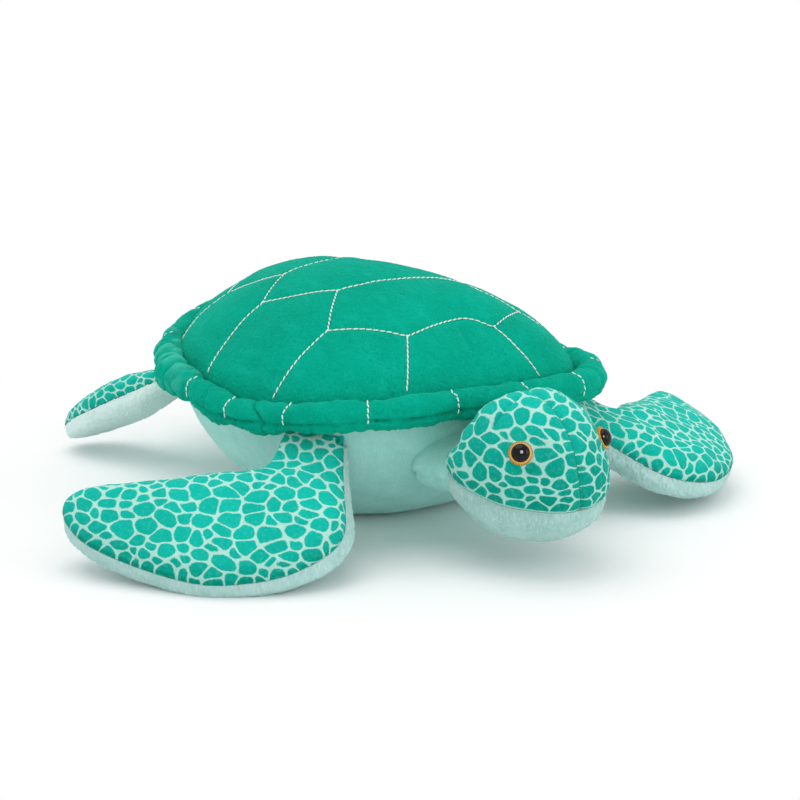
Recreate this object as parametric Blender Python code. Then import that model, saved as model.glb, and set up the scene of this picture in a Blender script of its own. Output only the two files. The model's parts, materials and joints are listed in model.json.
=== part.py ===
"""Plush sea turtle: a stuffed toy sewn from fabric panels over fibre filling.

The turtle faces -Y, its left side is +X, and its belly rests on the plane Z = 0.
The origin is the middle of the belly's flat. All lengths are in metres.
"""
import math

import bmesh
import bpy
from mathutils import Matrix, Vector

MM = 0.001

# Fabric, seams and fit
SKIN = 2.0 * MM
GAP = 0.3 * MM
WELD = 0.001 * MM

# Shell and belly, which meet in the side seam
SHELL_HALF_WIDTH = 89.5 * MM
SHELL_FRONT = 100.0 * MM
SHELL_REAR = 133.5 * MM
SHELL_FRONT_POWER = 3.1
SHELL_REAR_POWER = 1.5
SEAM_HEIGHT = 65.0 * MM
SEAM_BOW_FRONT = 3.0 * MM
SEAM_BOW_REAR = 9.0 * MM
DOME_HEIGHT = 51.0 * MM
DOME_FULLNESS = 1.85
DOME_ROUNDNESS = 1.44
DOME_FORWARD = 4.0 * MM
BELLY_DEPTH = 71.0 * MM
BELLY_FULLNESS = 1.9
BELLY_ROUNDNESS = 2.2
BELLY_FORWARD = 9.0 * MM

# Stuffed roll round the shell's edge, pinched by cross stitches
RIM_RADIUS = 7.25 * MM
RIM_DROP = 3.6 * MM
RIM_STITCHES = 14
RIM_SPANS = 3
RIM_PINCH_SHARE = 0.14
RIM_OPENING = math.radians(60.0)
RIM_SKIN = 1.6 * MM

# Head
HEAD_HALF_WIDTH = 35.0 * MM
HEAD_FRONT = 35.0 * MM
HEAD_REAR = 29.0 * MM
HEAD_REACH = 40.0 * MM
HEAD_DROP = 28.0 * MM
HEAD_FORWARD = SHELL_FRONT + HEAD_REACH
HEAD_SEAM_HEIGHT = SEAM_HEIGHT - HEAD_DROP
CROWN_HEIGHT = 41.0 * MM
CHIN_DEPTH = 24.0 * MM
NAPE_WIDTH_POWER = 0.55
NAPE_HEIGHT_POWER = 1.6
HEAD_TURN = math.radians(6.7)
HEAD_NOD = math.radians(10.0)

# Neck, a small stuffed ball between the chest and the head
NECK_DROP = 24.0 * MM
NECK_SLEEVE_REACH = math.radians(75.0)

# Safety eyes: a domed pupil with a shank, an iris ring and a lock washer
EYE_ROUND = math.radians(62.0)
EYE_LIFT = math.radians(40.0)
PUPIL_RADIUS = 4.0 * MM
PUPIL_HEIGHT = 2.8 * MM
IRIS_RADIUS = 5.2 * MM
IRIS_THICKNESS = 1.3 * MM
SHANK_RADIUS = 1.5 * MM
SHANK_LENGTH = 8.0 * MM
WASHER_RADIUS = 5.5 * MM
WASHER_THICKNESS = 1.2 * MM
EYE_SEAT = 0.6 * MM
WASHER_SEAT = 1.5 * MM

# Front flippers, in a frame at the root seam: X outward, Y rearward
FRONT_SPAN = 89.0 * MM
FRONT_LENGTH = 131.0 * MM
FRONT_TOP = 11.2 * MM
FRONT_UNDER = 14.4 * MM
FRONT_ROOT_ANGLE = math.radians(-46.5)
FRONT_ROOT_DROP = 20.0 * MM
FRONT_TILT = math.radians(7.2)
FRONT_EDGE_HEIGHT = 4.9 * MM
FRONT_ADVANCE = {"left": math.radians(4.7), "right": 0.0}
FRONT_CURL = {"left": 8.2 * MM, "right": 0.4 * MM}
FRONT_TIP_RISE = {"left": -4.1 * MM, "right": 8.0 * MM}
FRONT_CENTRE_SHARE = (0.56, 0.07)
FRONT_OUTLINE_SHARES = (
    (0.00, -0.127), (0.25, -0.200), (0.56, -0.262), (0.83, -0.164), (1.00, 0.020), (1.045, 0.200),
    (1.013, 0.483), (0.92, 0.63), (0.785, 0.69), (0.65, 0.59), (0.39, 0.271), (0.245, 0.135), (0.00, 0.123),
)

# Rear flippers, in the same kind of frame
REAR_SPAN = 76.0 * MM
REAR_LENGTH = 75.0 * MM
REAR_TOP = 12.5 * MM
REAR_UNDER = 9.0 * MM
REAR_ROOT_ANGLE = math.radians(51.5)
REAR_ROOT_DROP = 18.0 * MM
REAR_TILT = math.radians(-20.0)
REAR_EDGE_HEIGHT = 26.3 * MM
REAR_CENTRE_SHARE = (0.42, 0.34)
REAR_OUTLINE_SHARES = (
    (0.00, -0.18), (0.39, 0.02), (0.68, 0.18), (0.89, 0.35), (1.00, 0.54),
    (0.98, 0.72), (0.81, 0.80), (0.60, 0.76), (0.38, 0.60), (0.14, 0.37), (0.00, 0.20),
)

# Sections of a stuffed flipper as shares of the way out from its centre and of its height
TOP_SECTION_SHARES = ((0.0, 1.0), (0.50, 0.93), (0.84, 0.62), (0.97, 0.25), (1.0, 0.0))
UNDER_SECTION_SHARES = ((0.0, 1.0), (0.58, 0.92), (0.92, 0.70), (1.01, 0.38), (1.0, 0.0))
ROOT_REACH_SHARE = 0.92
ROOT_TAPER_SHARE = 0.5
ROOT_EASE = 26.0 * MM

# Facets
BODY_STATIONS = RIM_STITCHES * RIM_SPANS
DOME_RING_SHARES = (0.0, 0.40, 0.72, 0.93, 1.0)
BELLY_RING_SHARES = (0.0, 0.36, 0.66, 0.86, 0.96, 1.0)
FRONT_EDGE_POINTS = 21
REAR_EDGE_POINTS = 13
ROOT_POINTS = 2
HEAD_STATIONS = 10
HEAD_ARC = 5
RIM_OUTER_POINTS = 7
RIM_INNER_POINTS = 5
TURNED_SIDES = 16
NECK_SIDES = 12
NECK_SAMPLES = 120

COLOURS = {
    "minky": ("00A88A", 0.85),
    "print": ("35BFA8", 0.85),
    "mint": ("A3D3C8", 0.9),
    "fibre": ("E9EAE6", 0.95),
    "amber": ("D6921E", 0.35),
    "black": ("0B0A0A", 0.08),
    "nylon": ("E4E2DA", 0.5),
}


def linear(hex_colour):
    """Linear colour values of an sRGB hex colour."""
    channels = [int(hex_colour[i:i + 2], 16) / 255 for i in (0, 2, 4)]
    return [c / 12.92 if c <= 0.04045 else ((c + 0.055) / 1.055) ** 2.4 for c in channels]


def material(name, kind):
    """A plain Principled material in one of the toy's colours."""
    colour, roughness = COLOURS[kind]
    made = bpy.data.materials.new(name)
    made.use_nodes = True
    shader = made.node_tree.nodes["Principled BSDF"]
    shader.inputs["Base Color"].default_value = (*linear(colour), 1)
    shader.inputs["Roughness"].default_value = roughness
    shader.inputs["Metallic"].default_value = 0
    return made


def add_sheet(bm, rows, wrapped):
    """Triangles over a grid of points, closed round each row where it is wrapped.

    Every quad is split the same way, so that layers a small gap apart don't cross.
    """
    grid = [[bm.verts.new(point) for point in row] for row in rows]
    for near, far in zip(grid, grid[1:]):
        if wrapped:
            near = near + near[:1]
            far = far + far[:1]
        for a, b, c, d in zip(near, near[1:], far[1:], far):
            bm.faces.new((a, b, c))
            bm.faces.new((a, c, d))


def finish_object(name, bm, kind, parent=None, location=(0, 0, 0)):
    """Weld, face outward, shade smooth and put a mesh in the scene."""
    bmesh.ops.remove_doubles(bm, verts=bm.verts, dist=WELD)
    loose = [edge for edge in bm.edges if not edge.link_faces]
    bmesh.ops.delete(bm, geom=loose, context="EDGES")
    bmesh.ops.recalc_face_normals(bm, faces=bm.faces)
    mesh = bpy.data.meshes.new(name)
    bm.to_mesh(mesh)
    bm.free()
    mesh.shade_smooth()
    mesh.set_sharp_from_angle(angle=math.radians(50))
    mesh.materials.append(material(name, kind))
    made = bpy.data.objects.new(name, mesh)
    bpy.context.scene.collection.objects.link(made)
    made.parent = parent
    made.location = location
    return made


def pivot(name, location, parent=None, turn=0.0):
    """An empty on a joint, turned about Z."""
    made = bpy.data.objects.new(name, None)
    bpy.context.scene.collection.objects.link(made)
    made.parent = parent
    made.location = location
    made.rotation_euler = (0, 0, turn)
    return made


def is_pole(row):
    return all((point - row[0]).length < WELD for point in row)


def panel(name, outer, inner, kind, wrapped=True, **place):
    """A fabric panel: two grids of points, joined along their open edges."""
    bm = bmesh.new()
    add_sheet(bm, outer, wrapped)
    add_sheet(bm, inner, wrapped)
    for end in (0, -1):
        if not is_pole(outer[end]):
            add_sheet(bm, [outer[end], inner[end]], wrapped)
        if not wrapped:
            add_sheet(bm, [[row[end] for row in outer], [row[end] for row in inner]], False)
    return finish_object(name, bm, kind, **place)


def stuffing(name, *sheets, **place):
    """A closed body of fibre filling from grids of points that share their edges."""
    bm = bmesh.new()
    for rows in sheets:
        add_sheet(bm, rows, True)
    return finish_object(name, bm, "fibre", **place)


def turned(name, profile, kind, frame, **place):
    """A round piece turned from a profile of radius and height."""
    bm = bmesh.new()
    line = [bm.verts.new((radius, 0, height)) for radius, height in profile]
    edges = [bm.edges.new(pair) for pair in zip(line, line[1:])]
    bmesh.ops.spin(
        bm, geom=line + edges, cent=(0, 0, 0), axis=(0, 0, 1),
        angle=math.tau, steps=TURNED_SIDES, use_merge=True,
    )
    bmesh.ops.transform(bm, matrix=frame, verts=bm.verts)
    return finish_object(name, bm, kind, **place)


def cut(target, cutter):
    """Cut a hidden guide body out of a piece."""
    cutter.hide_render = True
    cutter.display_type = "WIRE"
    modifier = target.modifiers.new("cut", "BOOLEAN")
    modifier.operation = "DIFFERENCE"
    modifier.object = cutter


def swell(share, fullness, roundness):
    """Height of a stuffed panel at a share of the way from its middle to its seam."""
    return max(0.0, 1.0 - share ** fullness) ** (1.0 / roundness)


def shell_reach(angle, inset=0.0):
    """Distance from the middle to the side seam, blunt in front and tapered behind."""
    ahead = 0.5 - 0.5 * math.sin(angle)
    power = SHELL_REAR_POWER + (SHELL_FRONT_POWER - SHELL_REAR_POWER) * ahead
    length = SHELL_FRONT if math.sin(angle) < 0 else SHELL_REAR
    across = abs(math.cos(angle)) / (SHELL_HALF_WIDTH - inset)
    along = abs(math.sin(angle)) / (length - inset)
    return (across ** power + along ** power) ** (-1.0 / power)


def seam_height(y):
    """The side seam rises a little towards both ends."""
    if y < 0:
        return SEAM_HEIGHT + SEAM_BOW_FRONT * (y / SHELL_FRONT) ** 2
    return SEAM_HEIGHT + SEAM_BOW_REAR * (y / SHELL_REAR) ** 2


def seam_point(angle):
    reach = shell_reach(angle)
    x, y = reach * math.cos(angle), reach * math.sin(angle)
    return Vector((x, y, seam_height(y)))


def seam_normal(angle, step=0.001):
    """Level outward normal of the side seam."""
    run = seam_point(angle + step) - seam_point(angle - step)
    return Vector((run.y, -run.x, 0)).normalized()


def even_angles(count, samples=2000):
    """Angles that space points evenly along the side seam, from the front middle."""
    angles = [-math.pi / 2 + math.tau * i / samples for i in range(samples + 1)]
    points = [seam_point(angle) for angle in angles]
    travelled = [0.0]
    for a, b in zip(points, points[1:]):
        travelled.append(travelled[-1] + (b - a).length)
    picked = []
    for i in range(count):
        goal = travelled[-1] * i / count
        at = next(k for k, run in enumerate(travelled) if run >= goal)
        picked.append(angles[at])
    return picked


def dome_point(angle, share, inset=0.0, lift=0.0):
    """A point on the shell, at a share of the way from its top to the side seam."""
    reach = shell_reach(angle, inset) * share
    x, y = reach * math.cos(angle), reach * math.sin(angle)
    rise = (DOME_HEIGHT - inset) * swell(share, DOME_FULLNESS, DOME_ROUNDNESS)
    return Vector((x, y - DOME_FORWARD * (1 - share ** 2), seam_height(y) + lift + rise))


def belly_point(angle, share, inset=0.0, drop=0.0):
    """A point on the belly, which hangs forward and is pressed flat where it rests."""
    reach = shell_reach(angle, inset) * share
    x, y = reach * math.cos(angle), reach * math.sin(angle)
    sag = (BELLY_DEPTH - inset) * swell(share, BELLY_FULLNESS, BELLY_ROUNDNESS)
    height = seam_height(y) - drop - sag
    return Vector((x, y - BELLY_FORWARD * (1 - share ** 2), max(height, inset)))


def rings(point, angles, shares, *fit):
    """Rings of points over the dome or the belly, from its middle out to the side seam."""
    return [[point(angle, share, *fit) for angle in angles] for share in shares]


def belly_at(angle, drop):
    """The point on the belly's facets at a drop below the side seam."""
    line = [belly_point(angle, share) for share in BELLY_RING_SHARES]
    height = line[-1].z - drop
    low, high = next(pair for pair in zip(line, line[1:]) if pair[1].z > height)
    return low.lerp(high, (height - low.z) / (high.z - low.z))


def build_body(angles):
    """Shell cover, belly panel and the body's filling."""
    half_gap = GAP / 2
    for name, point, shares, kind in (
        ("shell_cover", dome_point, DOME_RING_SHARES, "minky"),
        ("belly_panel", belly_point, BELLY_RING_SHARES, "mint"),
    ):
        outer = rings(point, angles, shares, 0.0, half_gap)
        inner = rings(point, angles, shares, SKIN, half_gap)
        panel(name, outer, inner, kind)
    upper = rings(dome_point, angles, DOME_RING_SHARES, SKIN + GAP)
    lower = rings(belly_point, angles, BELLY_RING_SHARES, SKIN + GAP)
    stuffing("body_filling", upper, lower)


def rim_arc(angle, radius, points, pinch):
    """Points round the roll's section at one place on the side seam."""
    normal = seam_normal(angle)
    full = RIM_RADIUS * pinch
    out = GAP + full * math.cos(RIM_OPENING / 2)
    centre = seam_point(angle) + normal * out - Vector((0, 0, RIM_DROP))
    arc = []
    for turn in points:
        arc.append(centre + (normal * math.cos(turn) + Vector((0, 0, math.sin(turn)))) * radius * pinch)
    return arc


def build_rim(angles):
    """The stuffed roll round the shell: its fabric strip and its filling."""
    sweep = math.tau - RIM_OPENING
    start = math.pi - RIM_OPENING / 2
    outer_turns = [start - sweep * i / (RIM_OUTER_POINTS - 1) for i in range(RIM_OUTER_POINTS)]
    inner_turns = [start - sweep * i / (RIM_INNER_POINTS - 1) for i in range(RIM_INNER_POINTS)]
    core_turns = [start + RIM_OPENING / 2 - math.tau * i / RIM_INNER_POINTS for i in range(RIM_INNER_POINTS)]
    inner_radius = RIM_RADIUS - RIM_SKIN
    core_radius = inner_radius * math.cos(sweep / (RIM_INNER_POINTS - 1) / 2) - GAP
    strip = []
    core = []
    for i, angle in enumerate(angles):
        pinch = 1.0 - RIM_PINCH_SHARE if i % RIM_SPANS == 0 else 1.0
        outer = rim_arc(angle, RIM_RADIUS, outer_turns, pinch)
        inner = rim_arc(angle, inner_radius, inner_turns, pinch)
        strip.append(outer + inner[::-1])
        core.append(rim_arc(angle, core_radius, core_turns, pinch))
    bm = bmesh.new()
    add_sheet(bm, strip + strip[:1], True)
    finish_object("rim_strip", bm, "minky")
    stuffing("rim_filling", core + core[:1])


def smooth_line(points, count):
    """Evenly spaced points on a smooth curve through hand-chosen points."""
    ends = [points[0] * 2 - points[1], *points, points[-1] * 2 - points[-2]]
    dense = []
    steps = 20
    for a, b, c, d in zip(ends, ends[1:], ends[2:], ends[3:]):
        for i in range(steps):
            t = i / steps
            dense.append(
                b + (c - a) * (t / 2) + (a * 2 - b * 5 + c * 4 - d) * (t * t / 2)
                + (b * 3 - a - c * 3 + d) * (t ** 3 / 2)
            )
    dense.append(points[-1])
    travelled = [0.0]
    for a, b in zip(dense, dense[1:]):
        travelled.append(travelled[-1] + (b - a).length)
    line = []
    for i in range(count - 1):
        goal = travelled[-1] * i / (count - 1)
        line.append(dense[next(k for k, run in enumerate(travelled) if run >= goal)])
    return line + [points[-1]]


def flipper_outline(shares, span, length, edge_points, advance=0.0):
    """The flipper's seam: a smooth edge from root to root, closed by the straight root seam."""
    points = [Vector((out * span, back * length, 0)) for out, back in shares]
    spin = Matrix.Rotation(advance, 3, "Z")
    points[1:-1] = [spin @ point for point in points[1:-1]]
    edge = smooth_line(points, edge_points)
    root = [edge[-1].lerp(edge[0], (i + 1) / (ROOT_POINTS + 1)) for i in range(ROOT_POINTS)]
    return edge + root


def inset_outline(outline, inset):
    """The same closed outline, moved inward square to its edges."""
    moved = []
    for i, point in enumerate(outline):
        before = (point - outline[i - 1]).normalized()
        after = (outline[(i + 1) % len(outline)] - point).normalized()
        inward = Vector((-before.y - after.y, before.x + after.x, 0))
        moved.append(point + inward * (inset / (1 + before.dot(after))))
    return moved


def flipper_rows(outline, centre, section, height, inset=0.0, lift=0.0):
    """Rings of points over a stuffed flipper half; a negative height is the underside."""
    side = math.copysign(1.0, height)
    edge = inset_outline(outline, inset)
    full = abs(height) - inset
    rows = []
    for out, up in section:
        row = []
        for point in edge:
            held = max(0.0, 1.0 - (point.x - inset) / ROOT_EASE)
            reach = out - max(0.0, out - ROOT_REACH_SHARE) * held if up else out
            rise = full * up * (1.0 - ROOT_TAPER_SHARE * held * out) + lift
            row.append(centre + (point - centre) * reach + Vector((0, 0, side * rise)))
        rows.append(row)
    return rows


def root_frame(angle, drop, tilt, edge_height, span):
    """Frame of a flipper's root seam on the left side, drooping from the belly panel to its outer edge."""
    normal = seam_normal(angle)
    place = belly_at(angle, drop) + normal * GAP * 2
    turn = math.atan2(normal.y, normal.x)
    droop = math.asin((place.z - edge_height) / span)
    spin = Matrix.Rotation(turn, 4, "Z") @ Matrix.Rotation(tilt, 4, "X") @ Matrix.Rotation(droop, 4, "Y")
    return place, spin


def bent(point, curl, tip_rise):
    """A point of a front flipper, whose stuffing curls it outward and lifts or drops its rear tip."""
    out = max(0.0, point.x) / FRONT_SPAN
    back = max(0.0, point.y) / FRONT_LENGTH
    return point + Vector((0, 0, curl * out ** 2 + tip_rise * back ** 2))


def build_flipper(label, side, outline, centre, top, under, frame, curl=0.0, tip_rise=0.0):
    """Printed top panel, mint underside and filling of one flipper."""
    place, spin = frame
    root = pivot(label + "_root", (side * place.x, place.y, place.z))

    def set_in(rows, inset=0.0):
        """Rows put in the root's frame on their side, pressed flat where they meet the floor."""
        turned_rows = [[spin @ bent(point, curl, tip_rise) for point in row] for row in rows]
        return [[Vector((side * q.x, q.y, max(q.z, inset - place.z))) for q in row] for row in turned_rows]

    half_gap = GAP / 2
    panel(
        label + "_top",
        set_in(flipper_rows(outline, centre, TOP_SECTION_SHARES, top, lift=half_gap)),
        set_in(flipper_rows(outline, centre, TOP_SECTION_SHARES, top, inset=SKIN, lift=half_gap), SKIN),
        "print", parent=root,
    )
    panel(
        label + "_underside",
        set_in(flipper_rows(outline, centre, UNDER_SECTION_SHARES, -under, lift=half_gap)),
        set_in(flipper_rows(outline, centre, UNDER_SECTION_SHARES, -under, inset=SKIN, lift=half_gap), SKIN),
        "mint", parent=root,
    )
    depth = SKIN + GAP * 2
    upper = flipper_rows(outline, centre, TOP_SECTION_SHARES, top, inset=depth)
    lower = flipper_rows(outline, centre, UNDER_SECTION_SHARES, -under, inset=depth)
    stuffing(label + "_filling", set_in(upper, depth), set_in(lower, depth), parent=root)


def build_flippers():
    """Two front and two rear flippers."""
    front_centre = Vector((FRONT_CENTRE_SHARE[0] * FRONT_SPAN, FRONT_CENTRE_SHARE[1] * FRONT_LENGTH, 0))
    front_frame = root_frame(FRONT_ROOT_ANGLE, FRONT_ROOT_DROP, FRONT_TILT, FRONT_EDGE_HEIGHT, FRONT_SPAN)
    rear_frame = root_frame(REAR_ROOT_ANGLE, REAR_ROOT_DROP, REAR_TILT, REAR_EDGE_HEIGHT, REAR_SPAN)
    rear_centre = Vector((REAR_CENTRE_SHARE[0] * REAR_SPAN, REAR_CENTRE_SHARE[1] * REAR_LENGTH, 0))
    for label, side in (("left", 1), ("right", -1)):
        outline = flipper_outline(
            FRONT_OUTLINE_SHARES, FRONT_SPAN, FRONT_LENGTH, FRONT_EDGE_POINTS, FRONT_ADVANCE[label]
        )
        build_flipper(
            "front_flipper_" + label, side, outline, front_centre, FRONT_TOP, FRONT_UNDER, front_frame,
            FRONT_CURL[label], FRONT_TIP_RISE[label],
        )
        outline = flipper_outline(REAR_OUTLINE_SHARES, REAR_SPAN, REAR_LENGTH, REAR_EDGE_POINTS)
        build_flipper("rear_flipper_" + label, side, outline, rear_centre, REAR_TOP, REAR_UNDER, rear_frame)


def neck_size(chest, head):
    """Middle and radius of the neck ball, which just clears points on the chest and the head."""
    near, far = -SHELL_FRONT, -HEAD_FORWARD
    for _ in range(40):
        middle = Vector((0, (near + far) / 2, SEAM_HEIGHT - NECK_DROP))
        to_chest = min((point - middle).length for point in chest)
        to_head = min((point - middle).length for point in head)
        if to_chest < to_head:
            near = middle.y
        else:
            far = middle.y
    return middle, min(to_chest, to_head) - GAP


def ball_rows(size, lowest, steps):
    """Rings of points round Y over a ball, or over the band between two openings."""
    rows = []
    for i in range(steps + 1):
        rise = lowest - 2 * lowest * i / steps
        level = size * math.cos(rise)
        turns = [math.tau * k / NECK_SIDES for k in range(NECK_SIDES)]
        rows.append([
            Vector((level * math.cos(turn), size * math.sin(rise), level * math.sin(turn))) for turn in turns
        ])
    return rows


def build_neck(middle, radius):
    """The neck's sleeve, open towards the chest and the head, and its filling."""
    neck = pivot("neck_pivot", middle)
    outer = ball_rows(radius, -NECK_SLEEVE_REACH, 6)
    inner = ball_rows(radius - SKIN, -NECK_SLEEVE_REACH, 6)
    panel("neck_sleeve", outer, inner, "mint", parent=neck)
    stuffing("neck_filling", ball_rows(radius - SKIN - GAP * 2, -math.pi / 2, 6), parent=neck)


def head_point(along, around, inset=0.0):
    """A point on the stuffed head: nose at 0 along, nape at pi; left seam at 0 around, crown at pi/2."""
    nape = math.cos(along) < 0
    reach = math.cos(along) * ((HEAD_REAR if nape else HEAD_FRONT) - inset)
    girth = max(0, math.sin(along))
    breadth = girth ** (NAPE_WIDTH_POWER if nape else 1)
    rise = girth ** (NAPE_HEIGHT_POWER if nape else 1)
    height = (CROWN_HEIGHT if math.sin(around) > 0 else CHIN_DEPTH) - inset
    return Vector((
        (HEAD_HALF_WIDTH - inset) * breadth * math.cos(around),
        -reach,
        height * rise * math.sin(around),
    ))


def head_rows(frame, first, last, steps, inset=0.0, shift=(0, 0, 0)):
    """Arcs of points across the head, from nose to nape."""
    rows = []
    for i in range(HEAD_STATIONS + 1):
        along = math.pi * i / HEAD_STATIONS
        turns = [first + (last - first) * k / steps for k in range(steps + 1)]
        rows.append([frame @ (head_point(along, turn, inset) + Vector(shift)) for turn in turns])
    return rows


def eye_frame(side):
    """Frame of an eye on the head: its origin on the crown and Z along the crown's outward normal."""
    spot = head_point(EYE_ROUND, EYE_LIFT)
    step = math.radians(0.1)
    along = head_point(EYE_ROUND + step, EYE_LIFT) - spot
    around = head_point(EYE_ROUND, EYE_LIFT + step) - spot
    normal = along.cross(around).normalized()
    if normal.dot(spot) < 0:
        normal.negate()
    spot = Vector((side * spot.x, spot.y, spot.z))
    normal = Vector((side * normal.x, normal.y, normal.z))
    return Matrix.Translation(spot) @ normal.to_track_quat("Z", "Y").to_matrix().to_4x4()


def build_eye(label, frame, head, crown, filling):
    """One safety eye, with its hole in the crown and its pocket in the filling."""
    place = {"parent": head}
    iris_back = EYE_SEAT
    iris_front = iris_back + IRIS_THICKNESS
    pupil_back = iris_front + GAP
    bore = SHANK_RADIUS + GAP
    washer_front = -(SKIN + WASHER_SEAT)
    washer_back = washer_front - WASHER_THICKNESS
    shank_end = pupil_back - SHANK_LENGTH
    dome = []
    for i in range(5):
        turn = math.pi / 2 * i / 4
        dome.append((PUPIL_RADIUS * math.sin(turn), pupil_back + PUPIL_HEIGHT * math.cos(turn)))
    pupil = dome + [(SHANK_RADIUS, pupil_back), (SHANK_RADIUS, shank_end), (0, shank_end)]
    turned("eye_pupil_" + label, pupil, "black", frame, **place)
    bevel = IRIS_THICKNESS / 2
    iris = [
        (bore, iris_back), (bore, iris_front), (IRIS_RADIUS - bevel, iris_front),
        (IRIS_RADIUS, iris_front - bevel), (IRIS_RADIUS, iris_back), (bore, iris_back),
    ]
    turned("eye_iris_" + label, iris, "amber", frame, **place)
    washer = [
        (bore, washer_front), (WASHER_RADIUS, washer_front), (WASHER_RADIUS, washer_back),
        (bore, washer_back), (bore, washer_front),
    ]
    turned("eye_washer_" + label, washer, "nylon", frame, **place)
    hole = [(0, SKIN), (bore, SKIN), (bore, washer_front), (0, washer_front)]
    cut(crown, turned("eye_hole_" + label, hole, "black", frame, **place))
    room = WASHER_RADIUS + GAP
    pocket = [(0, SKIN), (room, SKIN), (room, shank_end - GAP), (0, shank_end - GAP)]
    cut(filling, turned("eye_pocket_" + label, pocket, "black", frame, **place))


def head_frame():
    """Frame of the head's middle, nodded and turned from straight ahead."""
    place = Matrix.Translation((0, -HEAD_FORWARD, HEAD_SEAM_HEIGHT))
    return place @ Matrix.Rotation(HEAD_TURN, 4, "Z") @ Matrix.Rotation(HEAD_NOD, 4, "X")


def build_head(neck_middle):
    """Crown in two halves, chin, filling and eyes."""
    head = pivot("head_pivot", neck_middle)
    frame = Matrix.Translation(-neck_middle) @ head_frame()
    half_gap = GAP / 2
    quarter = math.pi / 2
    crowns = {}
    for label, side, first, last in (("left", 1, 0, quarter), ("right", -1, quarter, math.pi)):
        shift = (side * half_gap, 0, half_gap)
        outer = head_rows(frame, first, last, HEAD_ARC, 0.0, shift)
        inner = head_rows(frame, first, last, HEAD_ARC, SKIN, shift)
        crowns[label] = panel("crown_" + label, outer, inner, "print", wrapped=False, parent=head)
    shift = (0, 0, -half_gap)
    outer = head_rows(frame, math.pi, math.tau, 2 * HEAD_ARC, 0.0, shift)
    inner = head_rows(frame, math.pi, math.tau, 2 * HEAD_ARC, SKIN, shift)
    panel("chin_panel", outer, inner, "mint", wrapped=False, parent=head)
    rows = head_rows(frame, 0, math.tau, 4 * HEAD_ARC, SKIN + GAP)
    filling = stuffing("head_filling", [row[:-1] for row in rows], parent=head)
    for label, side in (("left", 1), ("right", -1)):
        build_eye(label, frame @ eye_frame(side), head, crowns[label], filling)


def main():
    for old in list(bpy.data.objects):
        bpy.data.objects.remove(old)
    angles = even_angles(BODY_STATIONS)
    build_body(angles)
    build_rim(angles)
    build_flippers()
    fine = [math.tau * i / NECK_SAMPLES for i in range(NECK_SAMPLES)]
    chest = [belly_point(angle, i / NECK_SAMPLES) for angle in fine for i in range(NECK_SAMPLES + 1)]
    head = [head_frame() @ head_point(a / 2, b) for a in fine for b in fine]
    neck_middle, neck_radius = neck_size(chest, head)
    build_neck(neck_middle, neck_radius)
    build_head(neck_middle)


main()
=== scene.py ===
"""The looks of a stuffed plush sea turtle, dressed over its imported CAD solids.

The turtle faces -Y, its left side is +X, and it rests on Z = 0. Shapes are worked out in
millimetres, with the same values as the part's own, and meshes are put down in metres.
"""
import json
import math
from functools import partial

import bmesh
import bpy
import numpy as np
from mathutils import Matrix, Vector, kdtree
from mathutils.bvhtree import BVHTree


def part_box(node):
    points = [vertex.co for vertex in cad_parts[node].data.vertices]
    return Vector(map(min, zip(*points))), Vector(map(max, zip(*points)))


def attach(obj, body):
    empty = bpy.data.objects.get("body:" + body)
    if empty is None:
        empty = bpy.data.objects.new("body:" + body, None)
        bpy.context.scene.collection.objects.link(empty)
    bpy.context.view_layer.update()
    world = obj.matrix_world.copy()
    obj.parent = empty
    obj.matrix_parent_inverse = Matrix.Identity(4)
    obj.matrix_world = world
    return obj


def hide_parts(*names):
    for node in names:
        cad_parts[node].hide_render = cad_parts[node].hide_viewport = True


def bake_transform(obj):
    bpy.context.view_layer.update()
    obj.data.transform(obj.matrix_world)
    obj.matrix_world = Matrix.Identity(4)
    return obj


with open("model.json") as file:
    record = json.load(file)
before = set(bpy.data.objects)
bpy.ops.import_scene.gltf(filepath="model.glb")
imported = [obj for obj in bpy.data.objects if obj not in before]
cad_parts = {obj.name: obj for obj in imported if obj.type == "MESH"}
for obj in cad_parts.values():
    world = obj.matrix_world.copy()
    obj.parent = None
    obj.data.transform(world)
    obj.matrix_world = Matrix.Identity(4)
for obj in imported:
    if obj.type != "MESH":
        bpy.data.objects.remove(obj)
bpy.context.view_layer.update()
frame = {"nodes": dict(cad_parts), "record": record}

MM = 0.001
FRONT = -math.pi / 2

# The shell and belly, in mm, as in the part
HALF_WIDTH = 89.5
FRONT_REACH = 100.0
REAR_REACH = 133.5
FRONT_POWER = 3.1
REAR_POWER = 1.5
SEAM_HEIGHT = 65.0
DOME_HEIGHT = 51.0
DOME_FORWARD = 4.0
BELLY_DEPTH = 71.0
BELLY_FORWARD = 9.0

# The roll round the shell
ROLL_RADIUS = 7.25
ROLL_DROP = 3.6
ROLL_STITCH_RADIUS = 6.6
ROLL_STITCHES = (-300, -242, -154, -121, -88, -56, -19, 19, 51, 86, 121, 156, 192, 228, 264, 300, 328)
ROLL_GATHERS = (-262, -160)
ROLL_SAGS = ((-104, 8, 2.2), (-134, 9, 2.4), (-72, 8, 0.9), (-37, 10, 0.4), (2, 11, 0.6), (35, 9, 1.0))
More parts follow.
